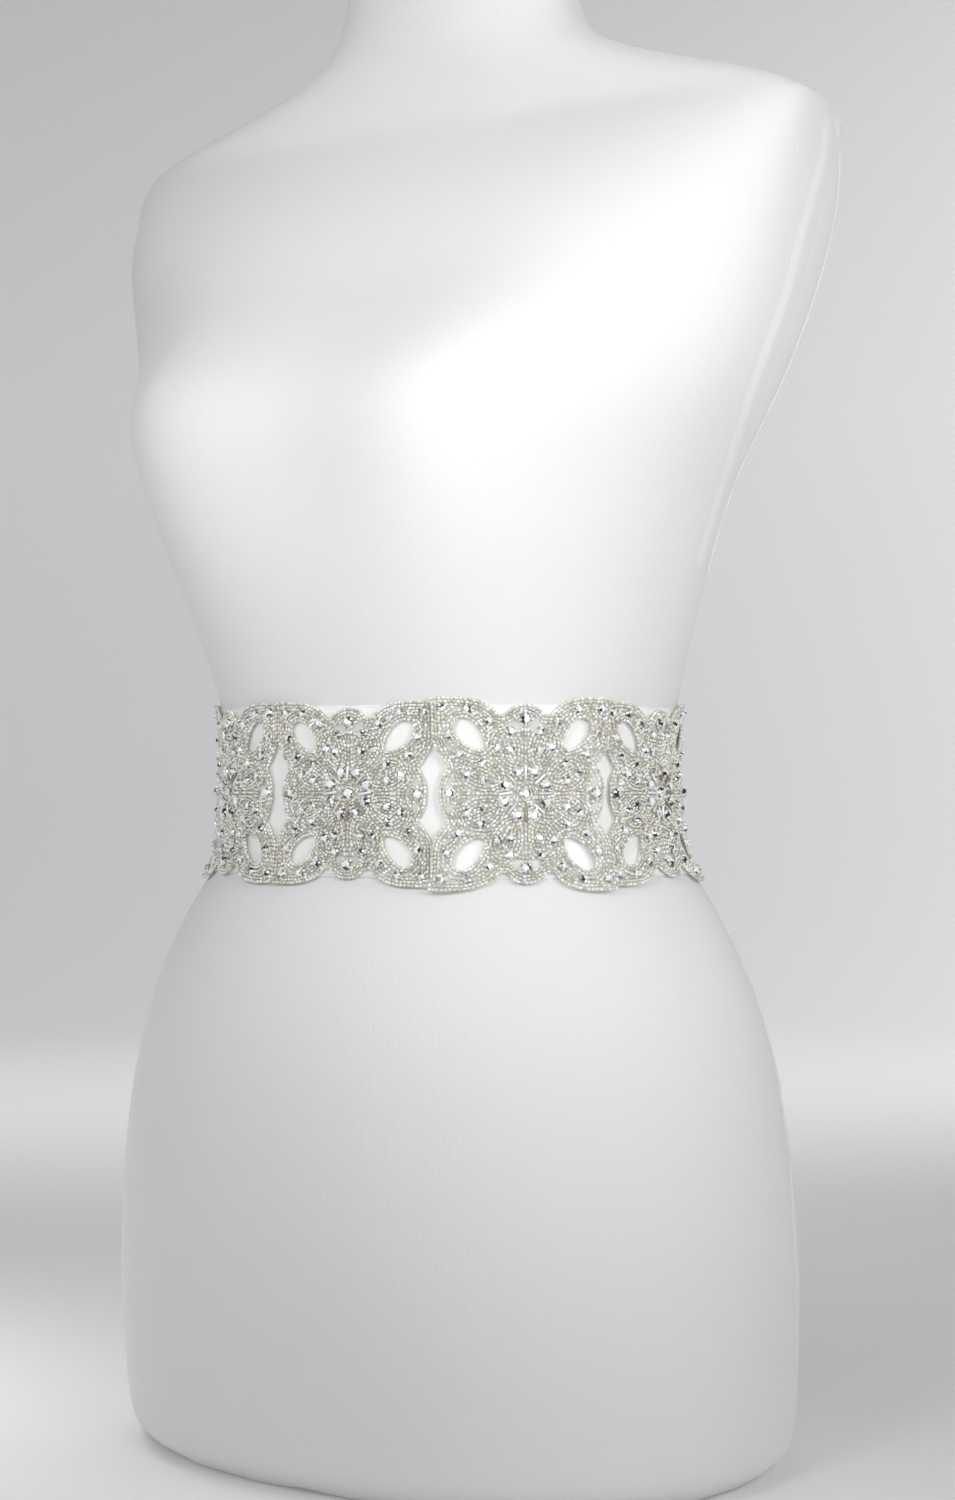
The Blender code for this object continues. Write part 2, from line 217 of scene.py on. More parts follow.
# Shapes of length or radius 1. Solids of revolution have rows of place and radius.
BEAD_PROFILE = ((-0.5, 0.45), (-0.3, 1.0), (0.3, 1.0), (0.5, 0.45))
BEAD_SIDES = 6
BUGLE_PROFILE = ((-0.5, 0.8), (-0.47, 1.0), (0.47, 1.0), (0.5, 0.8))
BUGLE_SIDES = 8
CRYSTAL_SIDES = 8
CRYSTAL_RINGS = ((0.52, 0.78, 0.0), (0.80, 0.56, 0.5), (1.0, 0.22, 0.0), (0.9, 0.0, 0.0))
CUP_SIDES = 12
CUP_PROFILE = ((1.02, 0.0), (1.16, 0.0), (1.18, 0.42), (1.04, 0.42))
CLAW_COUNT = 4
CLAW_SECTIONS = ((1.2, 0.3, 0.26, 0.16), (1.06, 0.62, 0.22, 0.14), (0.74, 0.78, 0.12, 0.1))
SQUARE = ((-1, -1), (1, -1), (1, 1), (-1, 1))

# Tints with the share of the beads, bugles or facets that have each. The bead tints are the glass's
# own. The bugle and facet tints are partly painted highlights, dark reflections and shade.
BEAD_TINTS = (
    ((0.80, 0.79, 0.71), 0.5),
    ((0.95, 0.95, 0.91), 0.24),
    ((0.60, 0.58, 0.49), 0.2),
    ((0.78, 0.74, 0.62), 0.06),
)
BEAD_SHADES = (0.88, 1.12)
# The beige bugles have the glass's own tint. The white ones are a painted highlight, and the dark
# brown ones a painted dark reflection.
BUGLE_TINTS_AND_PAINTED_LIGHT = (
    ((0.97, 0.97, 0.97), 0.45),
    ((0.34, 0.30, 0.20), 0.3),
    ((0.75, 0.73, 0.64), 0.25),
)
# Facet tones of the clear crystal are painted highlights and painted dark reflections, with a
# slightly cool tint. The wedge is painted shade on one side of each stone.
PAINTED_FACET_LIGHT = ((0.98, 0.58), (0.75, 0.24), (0.35, 0.18))
FACET_COOLNESS = (1.0, 1.0, 1.02)
SHADE_WEDGE_TONE = 0.02
SHADE_WEDGE_EDGE = (0.45, 0.9)
SHADE_WEDGE_FROM = 0.3
# The cup wall is darkened as painted shade. The claws keep the silver's own bright colour.
CUP_WALL_PAINTED_SHADE = 0.38
CLAW_TONE = 0.97

# Colours of the cloths and of the studio.
JERSEY_COLOUR = (0.80, 0.80, 0.80, 1)
SATIN_COLOUR = (0.97, 0.97, 0.965, 1)
SHEER_COLOUR = (0.92, 0.92, 0.89, 1)
STUDIO_COLOUR = (0.74, 0.74, 0.75, 1)
AIR_COLOUR = (0.95, 0.97, 1.0, 1)

# Fine upright wales of the form's cover and grain of the ribbon: scale, share of it
# upright, strength and depth.
KNIT = (700, 0.12, 0.35, 0.0004)
WEAVE = (1400, 1.0, 0.1, 0.0002)

# Smoothing of the CAD form.
WELD = 0.00002
SHARP_ANGLE = math.radians(40)
SKEW_ANGLE = math.radians(60)
SHARP_HOLD = 0.9
FORM_FINENESS = 2

# Folds and seams of the form's cover. A profile has rows of how far to the front
# and how high. Places along each one are in the photograph's pixels.
EDGE_TRIES = 40
SEAM_STEP = 5
SEAM_LEAST = 8
SEAM_ROUNDS = 4
SEAM_FADE = 18.0
SEAM_SUNK = 0.5
CREASE = (
    (11.0, -0.5),
    (7.0, -0.1),
    (3.0, 0.6),
    (1.0, 1.05),
    (-1.0, 1.0),
    (-7.0, 0.5),
    (-16.0, -0.5),
)
PINCH = ((0.9, -0.5), (0.4, 0.5), (0.0, 0.8), (-0.4, 0.5), (-0.9, -0.5))
TUCK = ((5.0, -0.5), (2.0, 0.8), (0.0, 2.6), (-2.0, 0.8), (-5.0, -0.5))
ARM_CREASE = (
    (830, 109),
    (825, 159),
    (807, 223),
    (788, 296),
    (758, 380),
    (734, 454),
    (714, 518),
    (697, 577),
)
ARM_SEAM = (
    (846, 140),
    (839, 203),
    (830, 242),
    (817, 296),
    (798, 356),
    (773, 412),
    (739, 493),
    (724, 533),
    (703, 594),
)
HIP_SEAM = ((705, 884), (745, 950), (775, 1060), (790, 1160), (797, 1300), (795, 1420))
SHOULDER_TUCK = ((846, 112), (852, 129), (848, 146))
FORM_SEAMS = ((CREASE, ARM_CREASE), (PINCH, ARM_SEAM), (PINCH, HIP_SEAM), (TUCK, SHOULDER_TUCK))

# Studio. A lamp has its place and target as to the camera's right, towards the
# camera and up, then its size, its power and its spread in degrees.
STUDIO_FLOOR = 2.2
STUDIO_BEND = 0.9
STUDIO_HEIGHT = 3.3
STUDIO_SIDES = 96
STUDIO_BEND_FROM = 0.1
STUDIO_BEND_STEPS = 14
STUDIO_FLOOR_RINGS = (0.4, 0.9, STUDIO_FLOOR)
STUDIO_WALL_RINGS = (1.4, 2.0, 2.8, STUDIO_HEIGHT)
FLOOR_GAP = 0.0004
WORLD_STRENGTH = 0.10
STUDIO_GLOW = 0.10
LAMPS = (
    ("near_right", (0.30, 0.75, 0.50), (0.0, 0.0, 0.49), 0.25, 0.56, 100),
    ("near_left", (-0.30, 0.75, 0.58), (0.0, 0.0, 0.49), 0.25, 0.74, 100),
    ("side_right", (0.90, 0.70, 0.70), (0.0, 0.0, 0.40), 0.45, 3.1, 180),
    ("above", (0.0, 0.30, 1.60), (0.0, 0.0, 0.60), 0.6, 2.9, 180),
    ("side_left", (-1.0, 0.60, 0.70), (0.0, 0.0, 0.50), 0.6, 0.9, 180),
    ("wall_right", (1.3, -1.30, 1.20), (1.3, -2.9, 0.5), 0.8, 16.0, 180),
    ("wall_low", (-1.1, -1.10, 0.80), (-1.0, -2.1, 0.0), 0.5, 4.0, 180),
    ("floor_left", (-0.42, -0.12, 0.60), (-0.42, -0.12, 0.0), 0.3, 0.45, 75),
    ("floor_back", (0.0, -1.35, 1.25), (0.0, -1.35, 0.0), 0.8, 1.8, 110),
)


def unit(vectors):
    return vectors / np.linalg.norm(vectors, axis=1)[:, None]


def lengths_along(line):
    return np.concatenate([[0], np.cumsum(np.linalg.norm(np.diff(line, axis=0), axis=1))])


def smooth_step(x):
    x = np.clip(x, 0.0, 1.0)
    return x * x * (3 - 2 * x)


class Wrap:
    """Turns a place on the flat sash into a point round the waist of the form."""

    def __init__(self, form):
        mesh = form.data
        faces = [p.vertices for p in mesh.polygons]
        tree = BVHTree.FromPolygons([v.co for v in mesh.vertices], faces)
        self.heights = np.linspace(WRAP_LOW, WRAP_HIGH, WRAP_ROWS)
        angles = np.linspace(-math.pi, math.pi, WRAP_ANGLES, endpoint=False)
        radii = np.array([[self.cast(tree, a, h) for a in angles] for h in self.heights])
        radii = self.smooth(radii)
        self.distances = np.arange(-WRAP_REACH, WRAP_REACH + WRAP_STEP, WRAP_STEP)
        turned = np.concatenate([angles + 2 * math.pi * k for k in (-1, 0, 1)])
        lines = [self.line(angles, r) for r in radii]
        self.middle_row = int(round((MID_HEIGHT - WRAP_LOW) / (self.heights[1] - WRAP_LOW)))
        _, _, around, _ = lines[self.middle_row]
        shape = (WRAP_ROWS, len(self.distances))
        self.x, self.y, self.nx, self.ny = (np.empty(shape) for _ in range(4))
        for i, (points, normals, whole, lengths) in enumerate(lines):
            along = np.concatenate([lengths + whole * k for k in (-1, 0, 1)])
            at = np.interp(self.level(whole, around), along, turned)
            sources = (points[:, 0], points[:, 1], normals[:, 0], normals[:, 1])
            for out, source in zip((self.x, self.y, self.nx, self.ny), sources):
                out[i] = np.interp(at, turned, np.tile(source, 3))

    @staticmethod
    def cast(tree, angle, height):
        way = Vector((math.sin(angle), -math.cos(angle), 0))
        point, _, _, _ = tree.ray_cast(Vector((0, 0, height * MM)), way)
        return point.xy.length / MM

    @staticmethod
    def smooth(radii):
        """Takes the facets of the CAD form out of its level sections."""
        step = 2 * math.pi / WRAP_ANGLES
        reach = int(3 * WRAP_SMOOTHING / step)
        shifts = range(-reach, reach + 1)
        weights = np.array([math.exp(-0.5 * (s * step / WRAP_SMOOTHING) ** 2) for s in shifts])
        weights /= weights.sum()
        return sum(w * np.roll(radii, s, axis=1) for w, s in zip(weights, shifts))

    @staticmethod
    def line(angles, radii):
        """Points and outward directions of one level section, and the lengths along it.

        The lengths are those of the section moved out to the panels.
        """
        points = np.stack([radii * np.sin(angles), -radii * np.cos(angles)], axis=1)
        along = np.roll(points, -1, axis=0) - np.roll(points, 1, axis=0)
        normals = unit(np.stack([along[:, 1], -along[:, 0]], axis=1))
        moved = points + normals * PANEL_OFF
        steps = np.linalg.norm(np.roll(moved, -1, axis=0) - moved, axis=1)
        lengths = np.concatenate([[0.0], np.cumsum(steps)])
        return points, normals, lengths[-1], lengths[:-1] - lengths[len(angles) // 2]

    def level(self, whole, around):
        from_middle = self.distances - STRIP_MIDDLE
        stretch = 1 + STRIP_TAPER * (whole / around - 1)
        near = np.minimum(np.abs(from_middle), STRIP_REACH) * stretch
        beyond = np.maximum(0.0, np.abs(from_middle) - STRIP_REACH)
        ease = (whole / 2 - STRIP_REACH * stretch) / (around / 2 - STRIP_REACH)
        return STRIP_MIDDLE + np.sign(from_middle) * (near + beyond * ease)

    def point(self, distance, height, off):
        """Points in millimetres, off the form by off. All three may be arrays."""
        distance, height, off = np.broadcast_arrays(distance, height, off)
        row = (height - WRAP_LOW) / (self.heights[1] - WRAP_LOW)
        i = np.clip(row.astype(int), 0, WRAP_ROWS - 2)
        s = row - i
        column = (distance + WRAP_REACH) / WRAP_STEP
        j = np.clip(column.astype(int), 0, len(self.distances) - 2)
        t = column - j

        def between(f):
            lower = (1 - t) * f[i, j] + t * f[i, j + 1]
            upper = (1 - t) * f[i + 1, j] + t * f[i + 1, j + 1]
            return (1 - s) * lower + s * upper

        x = between(self.x) + between(self.nx) * off
        y = between(self.y) + between(self.ny) * off
        return np.stack([x, y, height], axis=-1)


class PanelPlace:
    """Puts a panel's flat pattern on the wrap."""

    def __init__(self, wrap, name, tall, middle):
        self.wrap = wrap
        self.tall = tall
        self.middle = middle
        self.lifted = name == TOP_PANEL

    def point(self, flat, rise):
        """flat is an array of x and y. rise is how far above the panel's inner face."""
        x, y = flat[:, 0], flat[:, 1]
        off = PANEL_OFF + rise
        if self.lifted:
            off = off + LIFT * smooth_step(1 - (HALF_WIDTH - np.abs(x) - LIFT_FLAT) / LIFT_RAMP)
        return self.wrap.point(self.middle + x, MID_HEIGHT + y * self.tall, off)

    def frames(self, flat, turn, rise):
        """Middle, and the directions along, across and out, of things sewn on the panel."""
        ahead = np.stack([np.cos(turn), np.sin(turn)], axis=1) * FRAME_STEP
        middle = self.point(flat, rise)
        along = self.point(flat + ahead, rise) - self.point(flat - ahead, rise)
        side = np.stack([-ahead[:, 1], ahead[:, 0]], axis=1)
        across = self.point(flat + side, rise) - self.point(flat - side, rise)
        out = unit(np.cross(along, across))
        along = unit(along)
        return middle, np.stack([along, np.cross(out, along), out], axis=1)


def arc(centre, radius, start, end, steps):
    angles = np.linspace(start, end, steps + 1)
    return [(centre[0] + radius * math.cos(a), centre[1] + radius * math.sin(a)) for a in angles]


def bezier(a, b, c, d, steps):
    found = []
    for t in np.linspace(0, 1, steps + 1):
        u = 1 - t
        weights = (u**3, 3 * u * u * t, 3 * u * t * t, t**3)
        found.append(tuple(sum(w * p[k] for w, p in zip(weights, (a, b, c, d))) for k in (0, 1)))
    return found


def panel_outline():
    """Closed edge of a panel, from its quarter mirrored both ways."""
    lobe_centre = (0, LOBE_TOP - LOBE_RADIUS)
    lobe_end = math.asin((DIP[1] - lobe_centre[1]) / LOBE_RADIUS)
    lobe = arc(lobe_centre, LOBE_RADIUS, math.pi / 2, lobe_end, LOBE_STEPS)
    crest = ((SCALLOP_CREST_PULL, HALF_HEIGHT), (SCALLOP_CREST, HALF_HEIGHT))
    scallop = bezier(DIP, SCALLOP_PULL, *crest, SCALLOP_STEPS)
    corner = [(HALF_WIDTH - CORNER_CUT, HALF_HEIGHT), (HALF_WIDTH, HALF_HEIGHT - CORNER_CUT)]
    side_start = (HALF_WIDTH, STRAIGHT_SIDE_END)
    side = bezier(side_start, (HALF_WIDTH, SIDE_PULL), NOTCH_PULL, NOTCH, SIDE_STEPS)
    side_centre = (NOTCH[0] ** 2 + NOTCH[1] ** 2 - SIDE_LOBE**2) / (2 * (NOTCH[0] - SIDE_LOBE))
    side_radius = SIDE_LOBE - side_centre
    side_turn = math.asin(NOTCH[1] / side_radius)
    side_lobe = arc((side_centre, 0), side_radius, side_turn, 0, SIDE_LOBE_STEPS)[1:]
    quarter = lobe + scallop + corner + side + side_lobe
    right = quarter + [(x, -y) for x, y in reversed(quarter[:-1])]
    return np.array(right + [(-x, y) for x, y in reversed(right[1:-1])])


def leaf_outline(flip_x, flip_y):
    """Opening with a pointed inner end and a round outer end."""
    q = np.linspace(0, 2 * math.pi, LEAF_STEPS, endpoint=False)
    along = LEAF_LENGTH / 2 * np.cos(q)
    across = LEAF_WIDTH / 2 * np.sin(q) * (1 + LEAF_ROUNDING * np.cos(q))
    x = LEAF_CENTRE[0] + along * math.cos(LEAF_TURN) - across * math.sin(LEAF_TURN)
    y = LEAF_CENTRE[1] + along * math.sin(LEAF_TURN) + across * math.cos(LEAF_TURN)
    return np.stack([x * flip_x, y * flip_y], axis=1)


def petal_outline(index, inset=0.0, share=1.0):
    """One petal's edge, or a row inside it that is narrower by that share."""
    q = np.linspace(0, 2 * math.pi, CIRCLE_STEPS, endpoint=False)
    turn = 2 * math.pi * (index + 0.5) / PETAL_COUNT
    along = PETAL_CENTRE + (PETAL_LENGTH - inset) * np.cos(q)
    across = PETAL_WIDTH * share * np.sin(q) * (1 + PETAL_ROUNDING * np.cos(q))
    x = along * math.cos(turn) - across * math.sin(turn)
    y = along * math.sin(turn) + across * math.cos(turn)
    return np.stack([x, y], axis=1)


def mirrored(places):
    return [(x * fx, y * fy, *rest) for x, y, *rest in places for fx in (1, -1) for fy in (1, -1)]


def stone_places():
    """Places of the stones and their radii, large ones first."""
    large = [(0.0, 0.0)]
    for i in range(RING_COUNT):
        a = 2 * math.pi * (i + 0.5) / RING_COUNT
        large.append((RING_RADIUS * math.cos(a), RING_RADIUS * math.sin(a)))
    for sign in (1, -1):
        large.append((0.0, sign * LOBE_STONE_UP))
        large.append((sign * LOBE_STONE_SIDE, 0.0))
    small = mirrored(QUARTER_STONES)
    places = np.array(large + small)
    radii = np.array([LARGE_STONE] * len(large) + [SMALL_STONE] * len(small))
    return places, radii


def dense(line, closed=True):
    """The line as close points, with the direction at each."""
    if closed:
        line = np.vstack([line, line[:1]])
    lengths = lengths_along(line)
    count = max(2, int(round(lengths[-1] / LINE_STEP)))
    at = np.linspace(0, lengths[-1], count, endpoint=not closed)
    points = np.stack([np.interp(at, lengths, line[:, k]) for k in (0, 1)], axis=1)
    if closed:
        ahead = np.roll(points, -1, axis=0) - np.roll(points, 1, axis=0)
    else:
        ahead = np.gradient(points, axis=0)
    return points, unit(ahead)


def nearest(points, line):
    """Distance from each point to the nearest of the line's points, and which that is."""
    best = np.full(len(points), np.inf)
    which = np.zeros(len(points), int)
    for start in range(0, len(line), NEAREST_AT_ONCE):
        gaps = np.linalg.norm(points[:, None] - line[None, start : start + NEAREST_AT_ONCE], axis=2)
        k = gaps.argmin(axis=1)
        d = gaps[np.arange(len(points)), k]
        closer = d < best
        best[closer] = d[closer]
        which[closer] = k[closer] + start
    return best, which


def inside(points, loop):
    """Whether each point lies inside the closed loop."""
    x, y = points[:, 0], points[:, 1]
    crossings = np.zeros(len(points), int)
    for (x0, y0), (x1, y1) in zip(loop, np.roll(loop, -1, axis=0)):
        spans = (y0 > y) != (y1 > y)
        if y0 != y1:
            crossings += spans & (x < x0 + (y - y0) * (x1 - x0) / (y1 - y0))
    return crossings % 2 == 1


class BeadPattern:
    """Places of the seed beads of one flat panel, sewn in rows."""

    def __init__(self, stones, stone_radii, bugles):
        self.points = np.empty((0, 2))
        self.turns = np.empty(0)
        self.stones = stones
        self.stone_radii = stone_radii
        self.bugles = bugles
        self.spots = np.array(mirrored(SHEER_SPOTS))

    def free(self, points):
        """Whether each point is clear of stones and bugles."""
        gaps = np.linalg.norm(points[:, None] - self.stones[None], axis=2)
        clear = (gaps > self.stone_radii + STONE_CLEARANCE).all(axis=1)
        for a, b in self.bugles:
            span = b - a
            t = np.clip((points - a) @ span / (span @ span), 0, 1)
            gap = np.linalg.norm(points - (a + t[:, None] * span), axis=1)
            clear &= gap > BUGLE_RADIUS + BUGLE_CLEARANCE
        return clear

    def sewn(self, point):
        """Whether a bead that is already sewn covers this point."""
        if not len(self.points):
            return False
        gap = point - self.points
        along = gap[:, 0] * np.cos(self.turns) + gap[:, 1] * np.sin(self.turns)
        across = -gap[:, 0] * np.sin(self.turns) + gap[:, 1] * np.cos(self.turns)
        room_along, room_across = BEAD_ROOM[0] * BEAD_PITCH, BEAD_ROOM[1] * BEAD_ROW
        return bool(((along / room_along) ** 2 + (across / room_across) ** 2 < 1).any())

    def add(self, point, turn):
        self.points = np.vstack([self.points, point])
        self.turns = np.append(self.turns, turn)

    def row(self, line, closed=True):
        """One row of beads along a line."""
        self.sew_along(*dense(line, closed))

    def sheaf(self, start, end, count):
        """Rows side by side, from one place to another."""
        way = (end - start) / np.linalg.norm(end - start)
        side = np.array((-way[1], way[0])) * BEAD_ROW
        for i in range(count):
            shift = side * (i - (count - 1) / 2)
            self.row(np.array((start + shift, end + shift)), closed=False)

    def edge_row(self, loop, inset, keep=None):
        """A row beside a closed edge, inside it for a positive inset."""
        points, ahead = dense(loop)
        moved = points + np.stack([-ahead[:, 1], ahead[:, 0]], axis=1) * inset * winding(loop)
        far, _ = nearest(moved, points)
        kept = far > abs(inset) - CORNER_TOLERANCE
        if keep is not None:
            kept &= keep(moved)
        self.sew_along(moved[kept], ahead[kept])

    def sew_along(self, points, ahead):
        if len(points) < 2:
            return
        steps = np.linalg.norm(np.diff(points, axis=0), axis=1)
        lengths = np.concatenate([[0], np.cumsum(np.where(steps < 1, steps, BEAD_PITCH))])
        count = max(1, int(lengths[-1] / BEAD_PITCH))
        for at in np.linspace(0, lengths[-1], count, endpoint=False):
            i = min(np.searchsorted(lengths, at), len(points) - 1)
            if self.free(points[i : i + 1])[0] and not self.sewn(points[i]):
                self.add(points[i], math.atan2(ahead[i, 1], ahead[i, 0]))

    def fill(self, outline, leaves, guides):
        """Beads in what is left bare, row by row away from the edges."""
        xs = np.arange(-HALF_WIDTH, HALF_WIDTH, FILL_STEP)
        ys = np.arange(-HALF_HEIGHT, HALF_HEIGHT, FILL_STEP)
        grid = np.stack(np.meshgrid(xs, ys), axis=-1).reshape(-1, 2)
        grid = grid[inside(grid, outline)]
        for leaf in leaves:
            grid = grid[~inside(grid, leaf)]
        edges = np.vstack([dense(loop)[0] for loop in (outline, *leaves)])
        far, _ = nearest(grid, edges)
        kept = (far > EDGE_CLEARANCE) & self.free(grid)
        for x, y, radius in self.spots:
            kept &= np.linalg.norm(grid - (x, y), axis=1) > radius
        grid, far = grid[kept], far[kept]
        lines = [dense(loop) for loop in guides]
        guide_points = np.vstack([p for p, _ in lines])
        guide_ahead = np.vstack([a for _, a in lines])
        _, which = nearest(grid, guide_points)
        turns = np.arctan2(guide_ahead[which, 1], guide_ahead[which, 0])
        order = np.lexsort((grid[:, 0], grid[:, 1], np.floor(far / BEAD_ROW)))
        for i in order:
            if not self.sewn(grid[i]):
                self.add(grid[i], turns[i])


def winding(loop):
    x, y = loop[:, 0], loop[:, 1]
    area = np.sum(x * np.roll(y, -1) - np.roll(x, -1) * y)
    return 1.0 if area > 0 else -1.0


def bugle_ends():
    found = []
    for i in range(RING_COUNT):
        a = 2 * math.pi * i / RING_COUNT
        way = np.array((math.cos(a), math.sin(a)))
        found.append((way * BUGLE_INNER, way * BUGLE_OUTER))
    return found


def sew_beads(outline, leaves):
    stones, radii = stone_places()
    pattern = BeadPattern(stones, radii, bugle_ends())
    pattern.edge_row(outline, EDGE_INSET)
    for leaf in leaves:
        pattern.edge_row(leaf, -EDGE_INSET)
    pattern.edge_row(outline, EDGE_INSET + BEAD_ROW)
    petals = [petal_outline(i) for i in range(PETAL_COUNT)]
    for petal in petals:
        pattern.row(petal)
    for leaf in leaves:
        pattern.edge_row(leaf, -EDGE_INSET - BEAD_ROW)
    pattern.edge_row(outline, EDGE_INSET + 2 * BEAD_ROW, keep=lambda p: np.abs(p[:, 1]) > BAND_FROM)
    for share in PETAL_ROWS:
        for i in range(PETAL_COUNT):
            pattern.row(petal_outline(i, BEAD_ROW, share))
    for i in range(4):
        way = np.array((math.cos(i * math.pi / 2), math.sin(i * math.pi / 2)))
        pattern.sheaf(way * SHEAF_FROM, way * SHEAF_TO, SHEAF_ROWS)
    circles = [np.array(arc((0, 0), r, 0, 2 * math.pi, CIRCLE_STEPS)[:-1]) for r in CENTRE_ROWS]
    for circle in circles:
        pattern.row(circle)
    pattern.fill(outline, leaves, [outline, *leaves, *petals, circles[GUIDE_CIRCLE]])
    return pattern


def add_object(name, data):
    thing = bpy.data.objects.new(name, data)
    bpy.context.scene.collection.objects.link(thing)
    return thing


def joined(faces):
    """Faces as one row of point numbers and the number of corners of each."""
    return np.concatenate(faces), np.array([len(face) for face in faces])


def build_mesh(name, points, loops, sizes):
    """Mesh object from arrays. loops and sizes are as joined gives them."""
    mesh = bpy.data.meshes.new(name)
    mesh.vertices.add(len(points))
    mesh.vertices.foreach_set("co", np.asarray(points, np.float32).ravel())
    mesh.loops.add(len(loops))
    mesh.loops.foreach_set("vertex_index", np.asarray(loops, np.int32))
    mesh.polygons.add(len(sizes))
    starts = np.concatenate([[0], np.cumsum(sizes)[:-1]])
    mesh.polygons.foreach_set("loop_start", starts.astype(np.int32))
    mesh.update(calc_edges=True)
    mesh.validate()
    return add_object(name, mesh)


def stamp(name, template, middles, axes, scales):
    """One mesh with a copy of the template at each place. template is (points, faces)."""
    points, faces = template
    points = np.asarray(points, float)
    placed = np.einsum("vk,nkc->nvc", points, axes * scales[:, :, None]) + middles[:, None]
    loops, sizes = joined(faces)
    shifts = np.repeat(np.arange(len(middles)) * len(points), len(loops))
    loops = np.tile(loops, len(middles)) + shifts
    return build_mesh(name, placed.reshape(-1, 3) * MM, loops, np.tile(sizes, len(middles)))


def paint(thing, name, colours, domain):
    layer = thing.data.attributes.new(name, "FLOAT_COLOR", domain)
    rgba = np.ones((len(colours), 4), np.float32)
    rgba[:, :3] = colours
    layer.data.foreach_set("color", rgba.ravel())


def ring(x, radius, sides):
    """Points of a ring round the x axis."""
    angles = np.arange(sides) * 2 * math.pi / sides
    return [(x, radius * math.cos(a), radius * math.sin(a)) for a in angles]


def level_ring(radius, height, sides, shift=0.0):
    """Points of a level ring, turned by that share of a side."""
    angles = [2 * math.pi * (i + shift) / sides for i in range(sides)]
    return [(radius * math.cos(a), radius * math.sin(a), height) for a in angles]


def tube_template(profile, sides):
    """Closed solid of revolution round x. profile is (x, radius) rows."""
    points = [p for x, r in profile for p in ring(x, r, sides)]
    faces = [tuple(reversed(range(sides)))]
    for k in range(len(profile) - 1):
        for i in range(sides):
            j = (i + 1) % sides
            faces.append((k * sides + i, k * sides + j, (k + 1) * sides + j, (k + 1) * sides + i))
    last = (len(profile) - 1) * sides
    faces.append(tuple(range(last, last + sides)))
    return points, faces


def crystal_template():
    """Faceted stone of radius 1, flat table up. A ring has radius, height and turn."""
    sides = CRYSTAL_SIDES
    points = [p for r, z, shift in CRYSTAL_RINGS for p in level_ring(r, z, sides, shift)]
    faces = [tuple(range(sides))]
    table, mid, girdle, foot = (k * sides for k in range(len(CRYSTAL_RINGS)))
    for i in range(sides):
        j = (i + 1) % sides
        before = (i - 1) % sides
        faces.append((table + i, mid + i, table + j))
        faces.append((table + i, mid + before, girdle + i, mid + i))
        faces.append((mid + i, girdle + i, girdle + j))
        faces.append((girdle + i, foot + i, foot + j, girdle + j))
    faces.append(tuple(foot + i for i in reversed(range(sides))))
    return points, faces


def cup_silver_and_painted_shade():
    """Tints of a cup's points: a wall darkened as painted shade, and bright silver claws."""
    wall = np.full((len(CUP_PROFILE) * CUP_SIDES, 3), CUP_WALL_PAINTED_SHADE)
    claws = np.full((CLAW_COUNT * len(CLAW_SECTIONS) * len(SQUARE), 3), CLAW_TONE)
    return np.vstack([wall, claws])


def cup_template():
    """Silver cup of a stone of radius 1, with claws bent over it.

    A claw's section has how far out and how high it is, half its width and its
    thickness.
    """
    points = [p for r, z in CUP_PROFILE for p in level_ring(r, z, CUP_SIDES)]
    faces = []
    for k in range(len(CUP_PROFILE)):
        ring_start = k * CUP_SIDES
        next_start = (k + 1) % len(CUP_PROFILE) * CUP_SIDES
        for i in range(CUP_SIDES):
            j = (i + 1) % CUP_SIDES
            faces.append((ring_start + i, ring_start + j, next_start + j, next_start + i))
    up = np.array((0, 0, 1.0))
    for n in range(CLAW_COUNT):
        a = 2 * math.pi * (n + 0.5) / CLAW_COUNT
        out = np.array((math.cos(a), math.sin(a), 0))
        side = np.array((-math.sin(a), math.cos(a), 0))
        start = len(points)
        for radius, height, width, thick in CLAW_SECTIONS:
            for s, t in SQUARE:
                rise = 0.5 * t * thick
                corner = out * (radius + rise) + side * s * width + up * (height + rise)
                points.append(tuple(corner))
        corners = len(SQUARE)
        for k in range(len(CLAW_SECTIONS) - 1):
            low = start + corners * k
            for i in range(corners):
                j = (i + 1) % corners
                faces.append((low + i, low + j, low + corners + j, low + corners + i))
        last = len(points) - corners
        faces.append(tuple(start + i for i in reversed(range(corners))))
        faces.append(tuple(last + i for i in range(corners)))
    return points, faces


def new_material(name):
    material = bpy.data.materials.new(name)
    material.use_nodes = True
    return material, material.node_tree.nodes, material.node_tree.links


def setup(shader, **values):
    for name, value in values.items():
        shader.inputs[name.replace("_", " ")].default_value = value


def tinted_material(name, **values):
    """Material whose colour comes from the colour painted on each part: the beads' own tints, and
    painted highlights, dark reflections and shade on bugles, crystals and cups.
    """
    material, nodes, links = new_material(name)
    shader = nodes["Principled BSDF"]
    setup(shader, **values)
    tint_and_painted_light = nodes.new("ShaderNodeAttribute")
    tint_and_painted_light.attribute_name = "tint_and_painted_light"
    links.new(tint_and_painted_light.outputs["Color"], shader.inputs["Base Color"])
    return material


